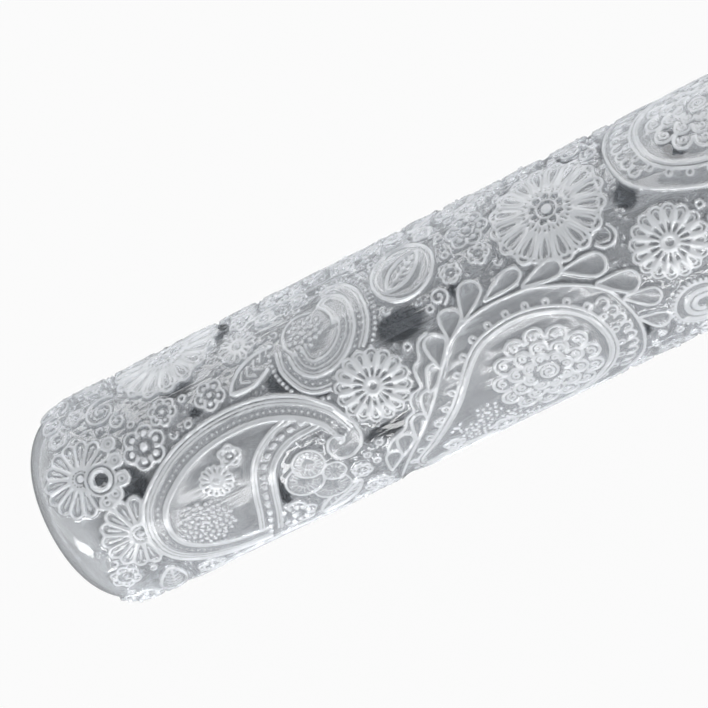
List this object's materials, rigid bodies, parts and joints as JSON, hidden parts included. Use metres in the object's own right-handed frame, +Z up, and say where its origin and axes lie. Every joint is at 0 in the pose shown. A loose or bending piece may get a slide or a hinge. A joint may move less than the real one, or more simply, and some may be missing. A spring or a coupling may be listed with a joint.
{
  "type": "clay texture roller",
  "caption": "Solid clear acrylic roller with rounded ends and a raised paisley and rosette pattern all round, rolled by hand to press texture into clay.",
  "frame": {"origin": "on the table under the middle of the bar, which lies on its side", "axes": "+X along the bar, +Z up, -Y towards the side that the picture shows"},
  "size_m": [0.15, 0.025, 0.0248],
  "materials": {
    "clear_acrylic": "clear, glossy ground with a finely frosted raised pattern"
  },
  "bodies": {
    "root": {"roller": "clear_acrylic"}
  },
  "joints": []
}
